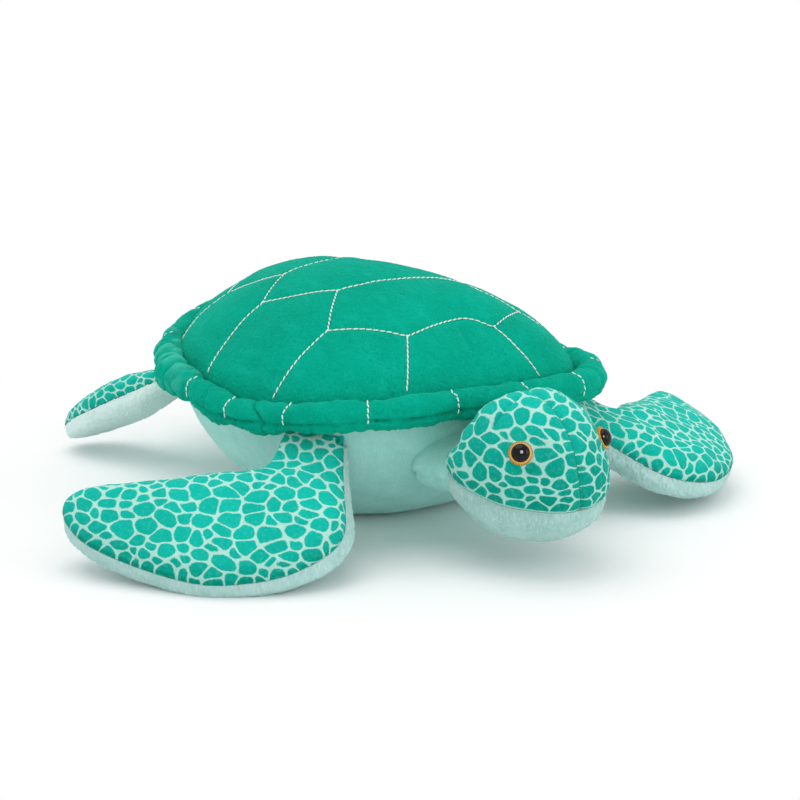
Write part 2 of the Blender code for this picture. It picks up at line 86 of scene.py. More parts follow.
# Along the roll: arc, radius, how far its middle stands out, and how far it is lifted
ROLL_FORM = (
    (-330, 7.2, 0, 0), (-290, 7.0, -1.0, 0), (-262, 6.9, -3.0, 0.5), (-240, 7.4, -5.0, 1.5),
    (-215, 7.9, -6.6, 2.2), (-198, 7.5, -5.0, 2.8), (-181, 8.4, -0.2, 3.6), (-168, 7.4, -0.2, 3.2),
    (-152, 6.5, -0.4, 0.9), (-138, 6.4, -0.2, -0.8), (-121, 6.2, 0.2, -2.4), (-100, 6.0, 0.2, -2.7),
    (-88, 6.4, 0, -0.9), (-70, 6.5, 0, 0.2), (-56, 6.4, 0, 0.6), (-37, 7.1, 0, 1.8), (-19, 6.6, 0, 1.9),
    (2, 7.0, 0, 1.0), (60, 7.3, 0.5, 0), (98, 7.6, 3.0, 0), (130, 7.3, 0.5, 0), (331, 7.2, 0, 0),
)
# Folds across the roll: arc, how much further back it is below, and depth
ROLL_FOLDS = (
    (-104, 7, 1.8), (-137, 3, 1.0), (-163, -3, 1.2), (-171, -6, 1.7), (-183, -4, 1.1), (-190, -2, 1.9),
    (-205, -5, 1.6), (-214, -1, 0.9), (-226, -2, 1.5), (-253, 0, 0.9), (-275, 1, 0.7), (-70, 2, 0.5),
    (66, 1, 0.6), (108, -1, 0.8), (140, 0, 0.6), (175, 1, 0.6), (210, -1, 0.7), (246, 0, 0.6),
    (281, 1, 0.6),
)

# The head, turned and nodded from straight ahead
HEAD_PLACE = (0, -140.0, 37.0)
HEAD_TURN = math.radians(4.2)
HEAD_NOD = math.radians(10.0)
HEAD_HALF_WIDTH = 35.0
HEAD_FRONT = 35.0
HEAD_REAR = 30.5
NAPE_WIDTH_POWER = 0.47
NAPE_HEIGHT_POWER = 1.6
CROWN_HEIGHT = 41.0
CHIN_DEPTH = 24.0
# How far the crown's middle seam lies to the right, as a share of the half width
CENTRE_SEAM_SHIFT = 0.075

# Darts over the eyes on the left and right, in the head's frame
HEAD_DARTS = {
    1: ((10, 0, 39), (17, -2, 35.5), (23, -3, 30)),
    -1: ((-12.4, 2.5, 38.1), (-18.9, 2, 34.3), (-24.4, 1.6, 29.3)),
}

# The throat, in the room between the chest and the nape
NECK_HALF_WIDTH = 29.0
NECK_HEIGHT = 36.0
NECK_RISE = 15.0
NECK_FALL = 13.0

# The safety eyes
EYE_ROUND = math.radians(62.0)
EYE_LIFT = math.radians(40.0)
PUPIL_RADIUS = 4.0
PUPIL_HEIGHT = 2.8
IRIS_RADIUS = 5.2
IRIS_THICKNESS = 1.3
IRIS_HOLE = 1.8
IRIS_LIP = 0.65
SHANK_RADIUS = 1.5
SHANK_LENGTH = 8
EYE_SEAT = 0.6
# How the eyes sit: turned forward, sunk in the plush, and for the left one a little further round
EYE_TILT = {1: math.radians(15.0), -1: math.radians(9.0)}
EYE_SINK = {1: 1.5, -1: 0.3}
EYE_SHIFT = {1: math.radians(3.6), -1: 0.0}

# Flippers, in a frame at the root seam: X outward, Y rearward
FRONT_FLIPPER = {
    "span": 89.0, "length": 131.0, "top": 11.2, "under": 14.4, "root_angle": -46.5,
    "fineness": 8, "cells": 1.0,
    "tilt": 7.2, "edge_height": 4.9, "centre": (0.56, 0.07), "root_lift": 8.0,
    "outline": (
        (0.00, -0.085), (0.25, -0.176), (0.56, -0.256), (0.83, -0.164), (1.00, 0.020), (1.045, 0.200),
        (1.013, 0.483), (0.92, 0.625), (0.785, 0.676), (0.65, 0.585), (0.39, 0.271), (0.245, 0.122),
        (0.00, 0.105),
    ),
}
REAR_FLIPPER = {
    "span": 76.0, "length": 75.0, "top": 12.5, "under": 9.0, "root_angle": 51.5,
    "fineness": 7, "cells": 0.9,
    "tilt": -20.0, "edge_height": 26.3, "centre": (0.42, 0.34), "root_lift": 0.0,
    "outline": (
        (0.00, -0.18), (0.39, 0.02), (0.68, 0.18), (0.89, 0.35), (1.00, 0.54),
        (0.98, 0.72), (0.81, 0.80), (0.60, 0.76), (0.38, 0.60), (0.14, 0.37), (0.00, 0.20),
    ),
}
# How each front flipper is bent: degrees it is turned forward, and mm that its outer edge and its tip rise
FRONT_BEND = {"left": (4.9, 7.9, -6.4), "right": (0.0, 0.4, 8.0)}
REAR_BEND = (0.0, 0.0, 0.0)
# How far out the body's hold on a flipper reaches, in mm
TOP_SECTION = ((0.0, 1.0), (0.50, 0.93), (0.84, 0.62), (0.97, 0.25), (1.0, 0.0))
UNDER_SECTION = ((0.0, 1.0), (0.58, 0.94), (0.94, 0.74), (1.03, 0.40), (1.0, 0.0))
BACK_SECTION = ((0, 0), (1, 0))

# Corners of the shell's stitched plates, in mm
PLATE_CORNERS = {
    "mid_right": (-55.6, 3.1, 100), "top_right": (-32.9, 22, 109), "neck_right": (-33.9, -31, 108.6),
    "front_right": (-53.2, -54.7, 95.6), "brow_right": (-24.1, -77, 93.3),
    "brow_left": (24.8, -76.9, 93.3), "front_left": (53, -58, 94.6), "brow_left_rim": (36.3, -97.1, 70.5),
    "brow_right_rim": (-36.9, -96.2, 72), "front_right_rim": (-82.8, -54.8, 66),
    "mid_right_rim": (-88.4, 1.1, 68.6), "neck_middle": (-10.4, -35, 112),
    "brow_middle": (9.1, -70.9, 97.9), "neck_left": (38, -30.5, 107.2), "mid_left": (55.6, 3, 100),
    "top_left": (32.9, 22, 109), "mid_left_rim": (88.4, 1, 68.6), "front_left_rim": (84, -58, 66),
    "rear_right": (-44, 62, 96), "rear_left": (44, 62, 96), "tail_right": (-20, 90, 88),
    "tail_left": (20, 90, 88), "rear_right_rim": (-75, 75, 68), "rear_left_rim": (75, 75, 68),
    "tail_right_rim": (-28, 120, 72), "tail_left_rim": (28, 120, 72),
}
PLATE_SEAMS = (
    "neck_right neck_middle neck_left", "neck_right front_right", "front_right brow_right",
    "brow_right brow_middle brow_left", "front_right front_right_rim", "brow_right brow_right_rim",
    "brow_left brow_left_rim", "mid_right neck_right", "mid_right top_right", "mid_right mid_right_rim",
    "top_right top_left", "brow_left front_left", "front_left neck_left", "front_left front_left_rim",
    "mid_left neck_left", "mid_left top_left", "mid_left mid_left_rim", "top_right rear_right",
    "top_left rear_left", "rear_right tail_right", "rear_left tail_left", "tail_right tail_left",
    "rear_right rear_right_rim", "rear_left rear_left_rim", "tail_right tail_right_rim",
    "tail_left tail_left_rim",
)
FRONT_DART = ((5.9, -76.2, 94.6), (2.1, -97.5, 74.2))
STITCH_PITCH = 3.0

# Half the gap that stands for a stitched seam, and the pile's stand off the floor, in mm
SEAM_GAP = 0.15
FLOOR_GAP = 0.05

# Sockets of a Mix node: the two colours and their mix
LOW, HIGH, MIXED = 6, 7, 2


# ---------------------------------------------------------------- colours and finishes

def linear(hex_colour):
    """Linear colour of an sRGB hex value."""
    channels = [int(hex_colour[i:i + 2], 16) / 255 for i in (0, 2, 4)]
    return (*[c / 12.92 if c <= 0.04045 else ((c + 0.055) / 1.055) ** 2.4 for c in channels], 1)


def add_node(tree, kind, settings=None, links=None, out=0):
    """Add a node with settings by attribute or socket and links to its sockets, and give an output."""
    made = tree.nodes.new("ShaderNode" + kind)
    for key, value in (settings or {}).items():
        if isinstance(key, str) and hasattr(made, key):
            setattr(made, key, value)
        else:
            made.inputs[key].default_value = value
    for key, source in (links or {}).items():
        tree.links.new(source, made.inputs[key])
    return made.outputs[out]


def grain(size_mm, detail=2.0, roughness=0.5):
    """Settings of a noise with features of a size."""
    return {"Scale": 1 / (size_mm * MM), "Detail": detail, "Roughness": roughness}


def ramp(low, high, start=0.0, end=1.0):
    """Settings of a range that runs from start to end while its value goes from low to high."""
    return {"From Min": low, "From Max": high, "To Min": start, "To Max": end}


def shades(low=None, high=None):
    """Settings of a mix of colours, with the hex values of those that aren't linked."""
    given = {socket: linear(colour) for socket, colour in ((LOW, low), (HIGH, high)) if colour}
    return {"data_type": "RGBA", **given}


def start_finish(name, constants):
    """A Principled material with its constants, and how to add a node to it and to feed its shader."""
    made = bpy.data.materials.new(name)
    made.use_nodes = True
    tree = made.node_tree
    shader = tree.nodes["Principled BSDF"]
    for key, value in constants.items():
        shader.inputs[key].default_value = value
    return made, partial(add_node, tree), lambda key, source: tree.links.new(source, shader.inputs[key])


def start_plush(name, sheen, spread, tint):
    """Cloth with short pile: no gloss of its own, and a soft sheen off the tips of the pile."""
    made, add, feed = start_finish(name, {
        "Roughness": 0.95, "Specular IOR Level": 0.03, "Sheen Weight": sheen, "Sheen Roughness": spread,
        "Sheen Tint": linear(tint),
    })
    return made, add, feed, add("TexCoord", out="Object")


def add_pile(add, feed, coords, pile_mm, depth_mm, extra=None):
    """Short pile: soft tufts as bump, on top of an optional height."""
    height = add("TexNoise", grain(pile_mm, 3.0, 0.65), {"Vector": coords})
    if extra is not None:
        height = add("Math", {"operation": "ADD"}, {0: height, 1: extra})
    feed("Normal", add("Bump", {"Strength": 0.6, "Distance": depth_mm * MM}, {"Height": height}))


def cloud_colour(add, coords, size_mm, shaded, lit):
    """A colour that drifts between two shades in soft clouds."""
    clouds = add("TexNoise", grain(size_mm, 4.0, 0.6), {"Vector": coords})
    shade = add("MapRange", ramp(0.35, 0.65), {"Value": clouds})
    return add("Mix", shades(shaded, lit), {0: shade}, MIXED)


def fleck(add, base, coords, size_mm, detail, most, colour, full=0.8):
    """Tufts of a size in mm that catch the light, over a base colour."""
    tufts = add("TexNoise", grain(size_mm, detail), {"Vector": coords})
    share = add("MapRange", ramp(0.5, full, 0, most), {"Value": tufts})
    return add("Mix", shades(None, colour), {0: share, LOW: base}, MIXED)


def make_minky():
    """Emerald minky: short polyester pile with a nap, paler on the roll's gathers with brushed pile and a
    painted highlight.
    """
    made, add, feed, coords = start_plush("emerald_minky", 0.6, 0.26, "4ADFC8")
    base = cloud_colour(add, coords, 26, "009D82", "00A98D")
    stretched = add("Mapping", {"Rotation": (0, 0, 0.6), "Scale": (1, 0.3, 1)}, {"Vector": coords})
    brushed = fleck(add, base, stretched, 6, 3.0, 0.4, "14BDA4")
    # The pile parts into slanting tufts 1 mm wide and 2 mm long, deepest in soft patches, and painted
    # darker there as shade down in the pile.
    slant = add("Mapping", {"Rotation": (0, 2.18, 0.3), "Scale": (1, 0.7, 0.45)}, {"Vector": coords})
    tufts = add("TexNoise", grain(1, 2.0), {"Vector": slant})
    bare = add("TexNoise", grain(34, 2.0), {"Vector": coords})
    patch = add("MapRange", ramp(0.35, 0.65, 0.35, 0.9), {"Value": bare})
    gap = add("MapRange", ramp(0.45, 0.75), {"Value": tufts})
    parted = add("Math", {"operation": "MULTIPLY"}, {0: gap, 1: patch})
    parting_shaded = add("Mix", shades(None, "00957B"), {0: parted, LOW: brushed}, MIXED)
    grained = fleck(add, parting_shaded, coords, 0.9, 1.0, 0.55, "06BAA0")
    # Paler on the roll's gathers: brushed pile, and a painted highlight on their ridges and upper sides.
    brush_sheen_share = add("Attribute", {"attribute_name": "brush"}, out="Fac")
    feed("Base Color", add("Mix", shades(None, "5FD2BE"), {0: brush_sheen_share, LOW: grained}, MIXED))
    depth = add("Math", {"operation": "MULTIPLY", 1: -0.8}, {0: parted})
    add_pile(add, feed, coords, 1.2, 0.6, depth)
    return made


def make_mint(name, shaded, lit):
    """Pale mint plush: the same short pile, plain, hanging down in fine strands 0.9 mm apart."""
    made, add, feed, coords = start_plush(name, 0.25, 0.4, "E6F5F1")
    base = cloud_colour(add, coords, 9, shaded, lit)
    combed = add("Mapping", {"Scale": (1, 1, 0.22)}, {"Vector": coords})
    feed("Base Color", fleck(add, base, combed, 0.9, 2.0, 0.5, "DCF0EC"))
    add_pile(add, feed, combed, 1.0, 0.6)
    return made


def make_print():
    """Plush printed with turtle scales: rounded cells of mixed size, with pale gaps about 1 mm wide.

    The pieces carry the cells: "ink" is the distance in mm to a cell's edge, "tone" a random shade per cell
    with painted light, paler where the cloth faces up.
    """
    made, add, feed, coords = start_plush("printed_plush", 0.22, 0.35, "B4F2E8")
    ink, tone = [add("Attribute", {"attribute_name": layer}, out="Fac") for layer in ("ink", "tone")]
    # The pile spreads the ink, so an edge wanders by about 0.2 mm.
    fray = add("TexNoise", grain(0.9, 2.0), {"Vector": coords})
    spread = add("MapRange", ramp(0, 1, -0.35, 0.35), {"Value": fray})
    frayed = add("Math", {"operation": "ADD"}, {0: ink, 1: spread})
    edge = {"interpolation_type": "SMOOTHSTEP", **ramp(-0.22, 0.22)}
    inked = add("MapRange", edge, {"Value": frayed})
    # Gap and ink each run from a shaded to a lit colour by tone: random per cell, and painted light where
    # the cloth faces up.
    ground, shade = [
        add("Mix", shades(shaded, lit), {0: tone}, MIXED)
        for shaded, lit in (("9CD4C7", "B9E7DB"), ("008A76", "0FBFAD"))
    ]
    printed = add("Mix", shades(), {0: inked, LOW: ground, HIGH: shade}, MIXED)
    feed("Base Color", fleck(add, printed, coords, 1.6, 3.0, 0.35, "5CD2C2", 0.85))
    add_pile(add, feed, coords, 1.2, 0.45)
    return made


def make_thread():
    """Cream polyester thread: faintly glossy and twisted."""
    made, add, feed = start_finish("cream_thread", {
        "Base Color": linear("FFFFFB"), "Roughness": 0.6, "Sheen Weight": 0.6,
    })
    add_pile(add, feed, add("TexCoord", out="Object"), 0.4, 0.05)
    return made


def make_black():
    """Black moulded plastic: a hard gloss, with the faintest haze."""
    made, add, feed = start_finish("black_gloss_plastic", {
        "Base Color": linear("070606"), "Roughness": 0.05, "IOR": 1.45, "Specular IOR Level": 0.3,
    })
    haze = add("TexNoise", grain(3), {"Vector": add("TexCoord", out="Object")})
    feed("Roughness", add("MapRange", ramp(0, 1, 0.03, 0.08), {"Value": haze}))
    return made


def make_amber():
    """Amber moulded plastic: warm, glossy, with fine dark notches round its edge."""
    made, add, feed = start_finish("amber_gloss_plastic", {
        "Roughness": 0.4, "IOR": 1.45, "Specular IOR Level": 0.25,
    })
    around, outward = add("SeparateXYZ", {}, {0: add("UVMap")}).node.outputs[:2]
    teeth = add("Math", {"operation": "MULTIPLY", 1: 46 * math.tau}, {0: around})
    wave = add("Math", {"operation": "SINE"}, {0: teeth})
    notch = add("MapRange", ramp(-0.2, 0.8), {"Value": wave})
    outer = add("MapRange", ramp(0.80, 0.92), {"Value": outward})
    depth = add("Math", {"operation": "MULTIPLY"}, {0: notch, 1: outer})
    rings = add("MapRange", ramp(0.70, 0.98, 0, 0.8), {"Value": outward})
    ring = add("Mix", shades("FFBE3C", "DD9420"), {0: rings}, MIXED)
    feed("Base Color", add("Mix", shades(None, "2A1704"), {0: depth, LOW: ring}, MIXED))
    return made


def make_paper():
    """White studio paper: it takes the shadow near the turtle; further off the lens sees plain white."""
    made, add, _ = start_finish("white_paper", {"Base Color": linear("FCFCFC"), "Roughness": 0.9})
    tree = made.node_tree
    away = add("VectorMath", {"operation": "LENGTH"}, {0: add("TexCoord", out="Object")}, "Value")
    reach = {"interpolation_type": "SMOOTHSTEP", **ramp(0.19, 0.34)}
    far = add("MapRange", reach, {"Value": away})
    seen = add("Math", {"operation": "MULTIPLY"}, {0: far, 1: add("LightPath", out="Is Camera Ray")})
    white = add("Emission", {"Color": (1, 1, 1, 1), "Strength": 1.0})
    mix = add("MixShader", {}, {0: seen, 1: tree.nodes["Principled BSDF"].outputs[0], 2: white})
    tree.links.new(mix, tree.nodes["Material Output"].inputs["Surface"])
    return made


def make_nylon():
    """Natural nylon of the hidden lock washers: waxy and matt."""
    made, add, feed = start_finish("natural_nylon", {"Roughness": 0.5})
    clouds = add("TexNoise", grain(2), {"Vector": add("TexCoord", out="Object")})
    feed("Base Color", add("Mix", shades("DEDBD0", "EAE8E0"), {0: clouds}, MIXED))
    return made


# ---------------------------------------------------------------- shapes, in mm

def swell(share, fullness, roundness):
    """Height of a stuffed panel at a share of the way from its middle to its seam."""
    return np.maximum(0, 1 - unit(share) ** fullness) ** (1 / roundness)


def seam_reach(angle):
    """Distance from the middle to the shell's seam, blunt in front and tapered behind."""
    power = REAR_POWER + (FRONT_POWER - REAR_POWER) * (0.5 - 0.5 * np.sin(angle))
    length = np.where(np.sin(angle) < 0, FRONT_REACH, REAR_REACH)
    across = np.abs(np.cos(angle)) / HALF_WIDTH
    along = np.abs(np.sin(angle)) / length
    return (across ** power + along ** power) ** (-1 / power)


def seam_height(y):
    """The seam rises a little towards both ends."""
    return SEAM_HEIGHT + np.where(y < 0, 3 * (y / FRONT_REACH) ** 2, 9 * (y / REAR_REACH) ** 2)


def seam_point(angle):
    reach = seam_reach(angle)
    x, y = reach * np.cos(angle), reach * np.sin(angle)
    return np.stack([x, y, seam_height(y)], axis=-1)


def seam_normal(angle, step=0.001):
    """Level outward normal of the shell's seam."""
    run = seam_point(angle + step) - seam_point(angle - step)
    square = np.stack([run[..., 1], -run[..., 0], np.zeros_like(run[..., 0])], axis=-1)
    return square / np.linalg.norm(square, axis=-1, keepdims=True)


def dome_point(angle, share):
    reach = seam_reach(angle) * share
    x, y = reach * np.cos(angle), reach * np.sin(angle)
    z = seam_height(y) + DOME_HEIGHT * swell(share, 1.85, 1.44)
    return np.stack([x, y - DOME_FORWARD * (1 - share ** 2), z], axis=-1)


def belly_point(angle, share):
    """The belly hangs forward and is pressed flat where it rests."""
    reach = seam_reach(angle) * share
    x, y = reach * np.cos(angle), reach * np.sin(angle)
    z = seam_height(y) - BELLY_DEPTH * swell(share, 1.9, 2.2)
    return np.stack([x, y - BELLY_FORWARD * (1 - share ** 2), z], axis=-1)


def smooth_curve(points, steps=24):
    """Dense points on a smooth curve through given points."""
    points = [np.array(p, float) for p in points]
    ends = [2 * points[0] - points[1], *points, 2 * points[-1] - points[-2]]
    dense = []
    for a, b, c, d in zip(ends, ends[1:], ends[2:], ends[3:]):
        for i in range(steps):
            t = i / steps
            bow, twist = 2 * a - 5 * b + 4 * c - d, 3 * b - a - 3 * c + d
            dense.append(b + (c - a) * t / 2 + bow * t * t / 2 + twist * t ** 3 / 2)
    dense.append(points[-1])
    return np.array(dense)


def along_curve(curve, shares):
    """Points at shares of the length of a dense curve."""
    run = np.concatenate([[0], np.cumsum(np.linalg.norm(np.diff(curve, axis=0), axis=1))])
    return np.stack([np.interp(shares * run[-1], run, curve[:, i]) for i in range(curve.shape[1])], axis=-1)


def lumps(points, size, seed=0):
    """Smooth random heights between -1 and 1, with features of a size in mm."""
    spots = points / size + seed * 17.3
    corner = np.floor(spots).astype(np.int64)
    inside = spots - corner
    ease = inside ** 3 * (inside * (inside * 6 - 15) + 10)
    height = np.zeros(len(points))
    for step in np.ndindex(2, 2, 2):
        cell = corner + step
        mixed = (cell[:, 0] * 73856093) ^ (cell[:, 1] * 19349663) ^ (cell[:, 2] * 83492791)
        mixed = (mixed ^ (mixed >> 13)) * 1274126177 & 0x7FFFFFFF
        mixed = (mixed ^ (mixed >> 11)) * 668265263 & 0x7FFFFFFF
        share = np.prod(np.where(step, ease, 1 - ease), axis=1)
        height += share * (mixed / 0x3FFFFFFF - 1)
    return height


def ripple(seed, along, across=0, up=0):
    """Smooth random heights over measures that are already in lump sizes."""
    return lumps(np.stack(np.broadcast_arrays(along, across, up), axis=-1), 1.0, seed)


def fade(distance, width):
    """1 on a line, falling off to nothing past a width on either side."""
    return np.exp(-(distance / width) ** 2)


def unit(values):
    """Values kept between 0 and 1."""
    return np.clip(values, 0, 1)


def heading(angle):
    """Level directions from angles."""
    return np.stack([np.cos(angle), np.sin(angle)], axis=-1)


def between(values, low, high, ease):
    """1 between two values, 0 outside, with soft ends."""
    return 1 / (1 + np.exp((low - values) / ease)) / (1 + np.exp((values - high) / ease))


def near_lines(points, lines):
    """Distance from each point to the nearest of some dense lines of points."""
    spots = np.concatenate(lines)
    tree = kdtree.KDTree(len(spots))
    for i, spot in enumerate(spots):
        tree.insert(spot, i)
    tree.balance()
    return np.array([tree.find(p)[2] for p in points.tolist()])


def cell_power(spots, middles, sizes):
    """Squared distance from each spot to each cell's middle, less the cell's size squared."""
    base = (middles ** 2).sum(axis=1) - sizes ** 2
    return (spots ** 2).sum(axis=1)[:, None] - 2 * spots @ middles.T + base


def lay_cells(points, weights, seed, spacing=1.0):
    """Lay a turtle-scale print over points, in mm: big rounded cells with small ones between them.

    Gives each point its distance to the edge of its cell, less half a gap, and its cell's tone.
    """
    chance = np.random.default_rng(seed)
    bend = np.stack([lumps(points, 11 * spacing, seed + k) for k in range(3)], axis=-1)
    twist = np.stack([lumps(points, 4.5 * spacing, seed + k) for k in (3, 4, 5)], axis=-1)
    spots = (points + (1.8 * bend + 0.8 * twist) * spacing) * (1, 0.84, 1.35)
    middles, sizes = [], []
    for low, high, room, tries in ((3.0, 4.4, 0.90, 1500), (1.7, 2.5, 0.97, 2500)):
        for pick in chance.choice(len(spots), size=tries, p=weights / weights.sum()):
            size = chance.uniform(low, high) * spacing
            spot = spots[pick]
            apart = np.linalg.norm(np.array(middles) - spot, axis=1) if middles else np.zeros(0)
            if np.any(apart < room * (size + np.array(sizes))):
                continue
            middles.append(spot)
            sizes.append(size)
    middles, sizes = np.array(middles), np.array(sizes)
    some = slice(None, None, 7)
    for _ in range(2):
        power = cell_power(spots[some], middles, sizes)
        owner = power.argmin(axis=1)
        share = np.bincount(owner, weights[some], len(middles))
        for axis in range(3):
            pulled = np.bincount(owner, weights[some] * spots[some, axis], len(middles))
            aim = np.where(share > 0, pulled / np.maximum(share, 1e-9), middles[:, axis])
            middles[:, axis] += 0.7 * (aim - middles[:, axis])
    tones = chance.uniform(0, 1, len(middles))
    ink, tone = np.zeros(len(spots)), np.zeros(len(spots))
    for start in range(0, len(spots), 20000):
        part = slice(start, start + 20000)
        power = cell_power(spots[part], middles, sizes)
        near = np.argpartition(power, 6, axis=1)[:, :7]
        rank = np.take_along_axis(power, near, axis=1)
        order = rank.argsort(axis=1)
        near, rank = np.take_along_axis(near, order, axis=1), np.take_along_axis(rank, order, axis=1)
        apart = np.linalg.norm(middles[near[:, 1:]] - middles[near[:, :1]], axis=2)
        edge = (rank[:, 1:] - rank[:, :1]) / (2 * apart)
        soft = 0.62 * spacing
        ink[part] = -soft * np.log(np.exp(-edge / soft).sum(axis=1)) - 0.38 * spacing
        tone[part] = tones[near[:, 0]]
    return ink, tone


# ---------------------------------------------------------------- meshes

def cut_half(bm, normal):
    """Keep what is on the outer side of a plane through the middle."""
    bmesh.ops.bisect_plane(
        bm, geom=bm.verts[:] + bm.edges[:] + bm.faces[:], dist=1e-7,
        plane_co=(0, 0, 0), plane_no=normal, clear_inner=True,
    )


def open_ball(fineness, *planes):
    """A fine ball of unit radius, kept on the outer side of each plane."""
    bm = bmesh.new()
    bmesh.ops.create_icosphere(bm, subdivisions=fineness, radius=1)
    for normal in planes:
        cut_half(bm, normal)
    return bm


def line_back(bm):
    """Line the open side of a half ball with rings, so that the back of a bent panel bends with it."""
    rim = [edge for edge in bm.edges if edge.is_boundary]
    for share in (0.95, 0.85, 0.65, 0.35):
        grown = bmesh.ops.extrude_edge_only(bm, edges=rim)["geom"]
        rim = [part for part in grown if isinstance(part, bmesh.types.BMEdge) and part.is_boundary]
        for part in grown:
            if isinstance(part, bmesh.types.BMVert):
                part.co = part.co.normalized() * share


def read_points(bm):
    return np.array([vert.co[:] for vert in bm.verts])


def read_normals(bm):
    bm.normal_update()
    return np.array([vert.normal[:] for vert in bm.verts])


def vert_areas(bm):
    """Share of the surface that belongs to each vertex."""
    areas = np.zeros(len(bm.verts))
    for face in bm.faces:
        if len(face.verts) < 5:
            areas[[vert.index for vert in face.verts]] += face.calc_area() / len(face.verts)
    return areas


def store(bm, name, values):
    """Keep a value at each vertex, for its finish to read."""
    layer = bm.verts.layers.float.new(name)
    for vert, value in zip(bm.verts, values.tolist()):
        vert[layer] = value


def print_cells(bm, points, facing_up, seed, spacing, margin=9.0):
    """Store the print's cells on a mesh; the margin is each point's distance in mm from plain cloth."""
    bm.verts.index_update()
    ink, tone = lay_cells(points, vert_areas(bm), seed, spacing)
    store(bm, "ink", np.minimum(ink, margin))
    # Painted light: each cell's shade is lifted where the cloth faces up.
    store(bm, "tone", unit(0.08 + 0.25 * tone + 0.8 * facing_up))


def move_points(bm, points):
    for vert, point in zip(bm.verts, points.tolist()):
        vert.co = point


def surface_of(bm):
    return BVHTree.FromBMesh(bm)


def lay_on(surface, curve):
    """The nearest points of a surface to a curve, and the surface's normals there."""
    hits = [surface.find_nearest(point) for point in curve.tolist()]
    return np.array([hit[0][:] for hit in hits]), np.array([hit[1][:] for hit in hits])


def close_and_place(name, bm, finish, nodes=(), body=None):
    """Close a mesh's openings, turn it outward, place it in metres, and hide the CAD parts it stands for.
    """
    rims = [edge for edge in bm.edges if edge.is_boundary]
    if rims:
        bmesh.ops.holes_fill(bm, edges=rims, sides=0)
    bmesh.ops.recalc_face_normals(bm, faces=bm.faces)
    bmesh.ops.scale(bm, vec=(MM, MM, MM), verts=bm.verts)
    mesh = bpy.data.meshes.new(name)
    bm.to_mesh(mesh)
    bm.free()
    mesh.shade_smooth()
    mesh.set_sharp_from_angle(angle=math.radians(60))
    mesh.materials.append(finish)
    made = bpy.data.objects.new(name, mesh)
    bpy.context.scene.collection.objects.link(made)
    if nodes:
        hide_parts(*nodes)
    if body:
        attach(made, body)
    return made


def sew(bm, curve, surface, pitch=STITCH_PITCH, length=3.0, slant=0.16, sway=0.0):
    """Thread stitches along a curve on a surface, each a slim lens that leans a little."""
    line = bmesh.new()
    total = np.linalg.norm(np.diff(curve, axis=0), axis=1).sum()
    count = max(2, round(total / pitch))
    places = along_curve(curve, (np.arange(2 * count) + 0.5) / (2 * count))
    spots, normals = lay_on(surface, places)
    height = ((spots - places) * normals).sum(axis=1)
    smooth = np.convolve(np.pad(height, 2, mode="edge"), np.ones(5) / 5, mode="valid")
    normals = normals + np.roll(normals, 1, axis=0) + np.roll(normals, -1, axis=0)
    for i in range(count):
        up = Vector(normals[2 * i]).normalized()
        run = Vector(places[2 * i + 1] - places[2 * i])
        run = (run - up * run.dot(up)).normalized()
        lean = slant + sway * (1 if i % 2 else -1)
        run = (run + up.cross(run) * lean).normalized()
        side = up.cross(run)
        middle = Vector(places[2 * i]) + up * (smooth[2 * i] + 0.25)
        size = Matrix.Diagonal((0.34, 0.36, length / 2, 1))
        turn = Matrix((side, up, run)).transposed().to_4x4()
        bmesh.ops.create_uvsphere(
            line, u_segments=6, v_segments=5, radius=1, matrix=Matrix.Translation(middle) @ turn @ size,
        )
    sewn = bpy.data.meshes.new("sewn")
    line.to_mesh(sewn)
    line.free()
    bm.from_mesh(sewn)
    bpy.data.meshes.remove(sewn)


# ---------------------------------------------------------------- shell, belly and roll

def build_shell(finish, thread):
    """The quilted dome, sunk along its stitched seams and puffed between them."""
    bm = open_ball(8, (0, 0, 1))
    ball = read_points(bm)
    angle, share = np.arctan2(ball[:, 1], ball[:, 0]), np.hypot(ball[:, 0], ball[:, 1])
    points = dome_point(angle, share) + (0, 0, SEAM_GAP)
    table_angles, table_run = seam_table()
    arc = np.interp((angle - FRONT) % math.tau, table_angles - FRONT, table_run)
    arc = np.where(arc > table_run[-1] / 2, arc - table_run[-1], arc)
    lean = 3.8 * between(arc, *ROLL_GATHERS, 12) * unit(share * 2 - 1)
    points[:, :2] -= lean[:, None] * heading(angle)
    # Where the roll hangs lower, the shell's edge comes down to it.
    form = np.array(ROLL_FORM).T
    drop = np.clip(-np.interp(arc, form[0], form[3]), 0, 3) * unit(share * 8 - 7)
    points[:, 2] -= 1.5 * drop
    points[:, :2] += (0.2 * drop)[:, None] * heading(angle)
    move_points(bm, points)
    normals = read_normals(bm)
    smooth = surface_of(bm)
    lines = []
    for seam in PLATE_SEAMS:
        corners = [PLATE_CORNERS[corner] for corner in seam.split()]
        lines.append(lay_on(smooth, smooth_curve(corners, 60 // (len(corners) - 1)))[0])
    dart = lay_on(smooth, smooth_curve(FRONT_DART, 40))[0]
    away = near_lines(points, lines)
    dart_away = near_lines(points, [dart])
    edge = unit((1 - share) * 9)
    sink = -0.7 * fade(away, 1.6) + 0.9 * (1 - fade(away, 12)) - 0.3
    sink += -0.7 * fade(dart_away, 1.2) - 0.7 * fade(dart_away, 6)
    pucker = 0.30 * fade(away, 6) * lumps(points, 3.2, 1)
    soft = 0.7 * lumps(points, 34, 2) + 0.3 * lumps(points, 14, 3)
    fuzz = 0.16 * lumps(points, 1.2, 4)
    sink -= 1.4 * unit(np.cos(angle)) * unit(1 - share) * 2
    move_points(bm, points + normals * ((sink + pucker + soft) * edge + fuzz)[:, None])
    surface = surface_of(bm)
    threads = bmesh.new()
    for line in lines:
        sew(threads, line, surface)
    close_and_place("shell", bm, finish, ("shell_cover", "body_filling"), "body")
    close_and_place("shell_stitching", threads, thread, body="body")


